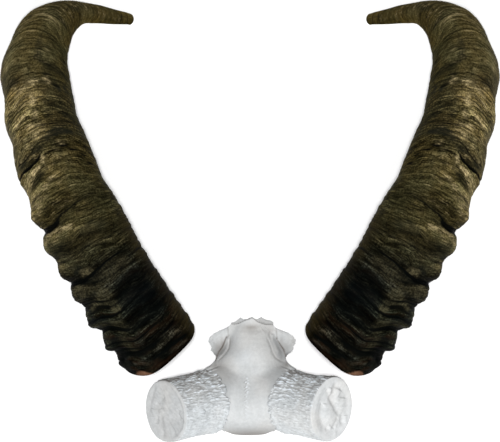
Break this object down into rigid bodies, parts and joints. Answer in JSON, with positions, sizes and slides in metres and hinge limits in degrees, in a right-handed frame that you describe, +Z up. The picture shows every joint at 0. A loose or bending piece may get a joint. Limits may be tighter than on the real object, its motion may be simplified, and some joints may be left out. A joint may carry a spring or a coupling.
{
  "type": "tur horn sheaths with a cast skull plate, museum set",
  "caption": "Life-size tur horn sheaths, ringed, hollow at the mouth and curving in at the tips, laid beside a cast skull plate with short horn cores.",
  "frame": {"origin": "the middle of the set's footprint, on the floor that it lies on", "axes": "+X to the right horn, +Y from the horn mouths to the tips, +Z up from the floor"},
  "size_m": [0.6286, 0.5616, 0.1389],
  "materials": {
    "horn": "weathered dark olive-brown horn, satin",
    "cast_plate": "white cast plaster, matte"
  },
  "bodies": {
    "root": {"horn_left": "horn", "horn_right": "horn", "skull_plate": "cast_plate"}
  },
  "joints": []
}
